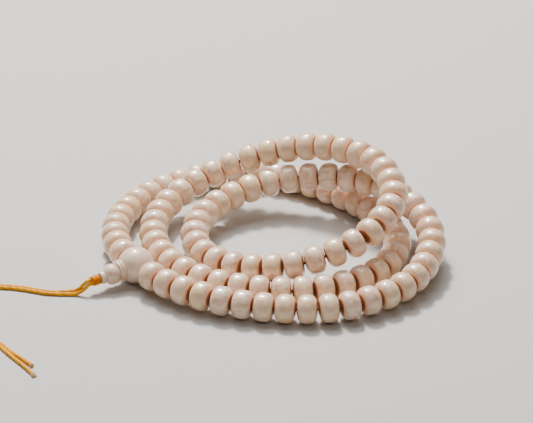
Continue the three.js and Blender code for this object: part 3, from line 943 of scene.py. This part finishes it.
def turned_mesh(name, outline, segments, middle, axis):
    """A mesh turned from a closed outline of (radius, height), with its own place as an attribute."""
    shape = bmesh.new()
    rings = []
    for radius, height in outline:
        ring = []
        for i in range(segments):
            angle = math.tau * i / segments
            ring.append(shape.verts.new((radius * math.cos(angle), radius * math.sin(angle), height)))
        rings.append(ring)
    for lower, upper in zip(rings, rings[1:] + rings[:1]):
        for i in range(segments):
            j = (i + 1) % segments
            shape.faces.new((lower[i], lower[j], upper[j], upper[i]))
    mesh = bpy.data.meshes.new(name)
    shape.to_mesh(mesh)
    shape.free()
    mesh.shade_smooth()
    mark_own_place(mesh)
    mesh.transform(turned_matrix(middle, axis))
    return mesh


def mark_own_place(mesh):
    """Stores each point's place in the piece's own frame, for the grain, before it is moved."""
    attribute = mesh.attributes.new("bead_place", "FLOAT_VECTOR", "POINT")
    places = np.zeros(len(mesh.vertices) * 3, np.float32)
    mesh.vertices.foreach_get("co", places)
    attribute.data.foreach_set("vector", places)


def linked(name, mesh, material):
    mesh.materials.clear()
    mesh.materials.append(material)
    piece = bpy.data.objects.new(name, mesh)
    bpy.context.scene.collection.objects.link(piece)
    return piece


def guru_outline(step_count):
    """Half of the ball's outline from one mouth of its bore to the other, then back along the bore."""
    radius = GURU_DIAMETER / 2
    bore = GURU_BORE / 2
    mouth = math.asin(bore / radius)
    outline = []
    for i in range(step_count + 1):
        angle = -math.pi / 2 + mouth + (math.pi - 2 * mouth) * i / step_count
        outline.append((radius * math.cos(angle), radius * math.sin(angle)))
    top = outline[-1][1]
    return outline + [(bore, top - GURU_LIP), (bore, GURU_LIP - top)]


def drilled(mesh_object, radius, start, direction, length):
    """Cuts a straight round hole into the object's mesh."""
    cutter_mesh = bpy.data.meshes.new("drill")
    shape = bmesh.new()
    bmesh.ops.create_cone(
        shape, cap_ends=True, segments=DRILL_SEGMENTS, radius1=radius, radius2=radius, depth=length
    )
    shape.to_mesh(cutter_mesh)
    shape.free()
    cutter_mesh.transform(turned_matrix(start + direction * length / 2, direction))
    cutter = bpy.data.objects.new("drill", cutter_mesh)
    bpy.context.scene.collection.objects.link(cutter)
    cut = mesh_object.modifiers.new("Drill", "BOOLEAN")
    cut.operation = "DIFFERENCE"
    cut.solver = "EXACT"
    cut.object = cutter
    evaluated = mesh_object.evaluated_get(bpy.context.evaluated_depsgraph_get())
    made = bpy.data.meshes.new_from_object(evaluated)
    mesh_object.modifiers.clear()
    mesh_object.data = made
    bpy.data.objects.remove(cutter)


def guru_bead():
    outline = guru_outline(GURU_STEPS)
    mesh = turned_mesh("guru_ball", outline, GURU_SEGMENTS, GURU_MIDDLE, STRAND_AXIS)
    guru = linked("guru_ball", mesh, GURU_IVORY)
    start = GURU_MIDDLE - TOWER_AXIS * THIRD_BORE_START
    drilled(guru, PAIR_BORE / 2, start, TOWER_AXIS, GURU_DIAMETER)
    guru.data.set_sharp_from_angle(angle=GURU_SHARP_ANGLE)
    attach(guru, "strand")
    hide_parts("guru_bead")


def ridge(inner, outer, start, end, steps):
    """An outline that swells roundly from the inner radius to the outer one and back."""
    points = []
    for i in range(steps + 1):
        angle = math.pi * i / steps
        radius = inner + (outer - inner) * math.sin(angle)
        points.append((radius, start + (end - start) * (1 - math.cos(angle)) / 2))
    return points


def belly(steps):
    """The belly's outline, an arc from the collar's neck to the tip's neck."""
    low = math.acos(FIRST_NECK_RADIUS / BELLY_RADIUS)
    high = math.acos(LAST_NECK_RADIUS / BELLY_RADIUS)
    rise = (BELLY_END - COLLAR_END) / (math.sin(low) + math.sin(high))
    points = []
    for i in range(steps + 1):
        angle = -low + (low + high) * i / steps
        height = COLLAR_END + rise * (math.sin(low) + math.sin(angle))
        points.append((BELLY_RADIUS * math.cos(angle), height))
    return points


def tower_outline():
    """Seat, two collar ridges, neck, belly, neck and flanged tip, then back along the bore."""
    bore = PAIR_BORE / 2
    dip = COLLAR_RADIUS - COLLAR_DIP
    reach = GURU_DIAMETER / 2 + SEAT_GAP
    seat = []
    for i in range(SEAT_STEPS + 1):
        radius = bore + (dip - bore) * i / SEAT_STEPS
        seat.append((radius, math.sqrt(reach**2 - radius**2)))
    rim = seat[-1][1]
    groove = (rim + COLLAR_END) / 2
    outline = seat + ridge(dip, COLLAR_RADIUS, rim, groove, RIDGE_STEPS)[1:]
    outline += ridge(dip, COLLAR_RADIUS - COLLAR_STEP, groove, COLLAR_END, RIDGE_STEPS)[1:-1]
    outline += belly(BELLY_STEPS)
    outline += ridge(TIP_NECK_RADIUS, TIP_RADIUS, BELLY_END + TIP_NECK_LENGTH, TOWER_TIP, TIP_STEPS)
    return outline + [(bore, TOWER_TIP), (bore, TOWER_TIP - TIP_LIP)]


def tower_bead():
    mesh = turned_mesh("tower_turning", tower_outline(), TOWER_SEGMENTS, GURU_MIDDLE, TOWER_AXIS)
    tower = linked("tower_turning", mesh, TOWER_IVORY)
    tower.data.set_sharp_from_angle(angle=TOWER_SHARP_ANGLE)
    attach(tower, "tower_bead")
    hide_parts("tower_bead")


# ---- Cord, knot and tails ------------------------------------------------------------------------


def cord_piece(name, lines, material, **values):
    """Plied cord along one or more lines of points."""
    points, edges = [], []
    for line in lines:
        start = len(points)
        points.extend(line)
        edges.extend((start + i, start + i + 1) for i in range(len(line) - 1))
    source = points_mesh(name, points, edges)
    return grown(name, source, TREES["cord"], {"Material": material, **values})


def along_tower(distance, sideways=0.0):
    return GURU_MIDDLE + TOWER_AXIS * distance + PAIR_SIDE * sideways


PAIR_SIDE = TOWER_AXIS.cross(UP).normalized()
EXIT = along_tower(TAIL_START)


def strung_cord():
    """The cord through the counting beads and into both sides of the guru bead."""
    line = [
        GURU_MIDDLE + STRAND_AXIS * CORD_DIAMETER,
        *JUNCTIONS,
        GURU_MIDDLE - STRAND_AXIS * CORD_DIAMETER,
    ]
    cord = cord_piece("strung_cord", [line], SHADED_CORD, Step=0.0008)
    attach(cord, "strand")
    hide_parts("stringing_cord")


def tower_cords():
    """The two cord ends from the guru bead through the tower bead and the heart of the knot."""
    lines = []
    for side in (-1, 1):
        ends = (0.0, KNOT_END - CORD_DIAMETER / 2)
        lines.append([along_tower(distance, side * CORD_PAIR_OFFSET) for distance in ends])
    cords = cord_piece("tower_cord_pair", lines, GOLDEN_CORD)
    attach(cords, "strand")
    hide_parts("tower_cord_a", "tower_cord_b")


def tied_knot():
    """The cord wound round the pair from under the tower bead's tip, the last turn on a slant."""
    over = PAIR_SIDE.cross(TOWER_AXIS)
    first = TOWER_TIP + KNOT_FIRST_TURN
    last = KNOT_END - CORD_DIAMETER / 2
    line = []
    for i in range(KNOT_STEPS + 1):
        share = i / KNOT_STEPS
        angle = -math.pi / 2 - math.tau * KNOT_TURNS * share
        from_end = min(KNOT_TUCK_START + share, 1 - share)
        ease = math.sin(math.pi * min(1.0, from_end * KNOT_TUCK_RATE) / 2)
        reach = KNOT_TUCK + (1 - KNOT_TUCK) * ease
        slant = KNOT_SLANT * share * math.cos(angle + KNOT_SLANT_BEARING) * ease
        point = along_tower(first + (last - first) * share + slant)
        point += PAIR_SIDE * math.cos(angle) * KNOT_HALF_WIDTH * reach
        point += over * math.sin(angle) * KNOT_HALF_HEIGHT * reach
        line.append(point)
    values = {"Diameter": 0.00122, "Twist Length": 0.005, "Step": 0.00015}
    knot = cord_piece("tied_knot", [line], KNOT_CORD, **values)
    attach(knot, "strand")
    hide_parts("tail_knot")
    return knot


def tail_line(side, cut_end):
    """One tail's own line beside the middle line of the pair."""
    route = [
        Vector((EXIT.x + x, EXIT.y + y, CORD_DIAMETER / 2 + rise)) for x, y, rise in TAIL_ROUTE + cut_end
    ]
    middle_line = smooth_line([EXIT, EXIT + TOWER_AXIS * TAIL_STRAIGHT, *route], TAIL_DIVISIONS)
    points = [along_tower(KNOT_END - TAIL_ROOT)] + [Vector(p) for p in middle_line]
    travel = lengths_along(np.array([tuple(p) for p in points]))
    line = []
    for i, point in enumerate(points):
        after = points[min(i + 1, len(points) - 1)]
        before = points[max(i - 1, 0)]
        sideways = (after - before).cross(UP).normalized()
        upward = sideways.cross(after - before).normalized()
        share = min(1.0, travel[i] / STACKED_LENGTH)
        roll = STACKED_ROLL * (1 - share * share * (3 - 2 * share))
        on_table = TAIL_DIAMETER / 2 + TAIL_PAIR_OFFSET * math.sin(roll)
        lift = UP * max(0.0, on_table - point.z)
        offset = sideways * math.cos(roll) + upward * math.sin(roll)
        line.append(point + lift + offset * side * TAIL_PAIR_OFFSET)
    return line


def tail(name, side, cut_end, node, brush):
    """One free tail with the loose fibres at its cut end."""
    line = tail_line(side, cut_end)
    cord = cord_piece(name, [line], GOLDEN_CORD, Diameter=TAIL_DIAMETER)
    ending = (line[-1] - line[-3]).normalized()
    root = line[-1] - ending * FRAY_ROOT
    end_source = points_mesh(name + "_fray", [root], cord_direction=[ending])
    fray = grown(name + "_fray", end_source, TREES["fray"], {"Material": FRAYED_FIBRE, **brush})
    for piece in (cord, fray):
        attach(piece, "strand")
    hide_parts(node)


# ---- Floor, light and camera ---------------------------------------------------------------------

AIM = Vector((-0.0021, 0.0314, 0.0))
CAMERA_DISTANCE = 1.255
CAMERA_ELEVATION = math.radians(26.6)
LENS = 240.0
FLOOR_REACH = 3.0
FLOOR_COLOUR = (0.5, 0.48, 0.455, 1)
ROOM_COLOUR = (0.9, 0.88, 0.86, 1)
ROOM_STRENGTH = 0.12


def pale_floor():
    shape = bmesh.new()
    bmesh.ops.create_grid(shape, x_segments=1, y_segments=1, size=FLOOR_REACH)
    mesh = bpy.data.meshes.new("floor")
    shape.to_mesh(mesh)
    shape.free()
    material = bpy.data.materials.new("pale_floor")
    material.use_nodes = True
    shader = material.node_tree.nodes["Principled BSDF"]
    shader.inputs["Base Color"].default_value = FLOOR_COLOUR
    shader.inputs["Roughness"].default_value = 0.7
    linked("floor", mesh, material)


def soft_light(name, bearing, elevation, distance, size, power, colour):
    """An area light that faces the coil. Bearing 0 is behind it, and 90 to its right."""
    data = bpy.data.lights.new(name, "AREA")
    data.shape = "DISK"
    data.size = size
    data.energy = power
    data.color = colour
    light = bpy.data.objects.new(name, data)
    bpy.context.scene.collection.objects.link(light)
    bearing = math.radians(bearing)
    elevation = math.radians(elevation)
    level = Vector((math.sin(bearing), math.cos(bearing), 0))
    toward = level * math.cos(elevation) + UP * math.sin(elevation)
    light.location = toward * distance
    light.rotation_mode = "QUATERNION"
    light.rotation_quaternion = toward.to_track_quat("Z", "Y")


def light_and_camera():
    soft_light("key", -14, 56, 1.1, 0.2, 22.0, (1.0, 0.98, 0.95))
    soft_light("sky", -20, 64, 1.5, 1.5, 27.0, (0.98, 0.98, 1.0))
    soft_light("front", 165, 50, 1.4, 0.8, 3.0, (1.0, 0.93, 0.86))
    world = bpy.data.worlds.new("room")
    world.use_nodes = True
    background = world.node_tree.nodes["Background"]
    background.inputs["Color"].default_value = ROOM_COLOUR
    background.inputs["Strength"].default_value = ROOM_STRENGTH
    bpy.context.scene.world = world
    data = bpy.data.cameras.new("camera")
    data.lens = LENS
    camera = bpy.data.objects.new("camera", data)
    bpy.context.scene.collection.objects.link(camera)
    back = Vector((0, -math.cos(CAMERA_ELEVATION), math.sin(CAMERA_ELEVATION)))
    camera.location = AIM + back * CAMERA_DISTANCE
    camera.rotation_mode = "QUATERNION"
    camera.rotation_quaternion = back.to_track_quat("Z", "Y")
    bpy.context.scene.camera = camera


pale_floor()
light_and_camera()
strung_cord()
tower_cords()
knot = tied_knot()
tail("tail_a", -1, TAIL_END_A, "tail_cord_a", {"Length": 0.0011, "Splay": 0.5})
tail("tail_b", 1, TAIL_END_B, "tail_cord_b", {"Length": 0.0026, "Splay": 0.22})
string_all_beads()
guru_bead()
tower_bead()
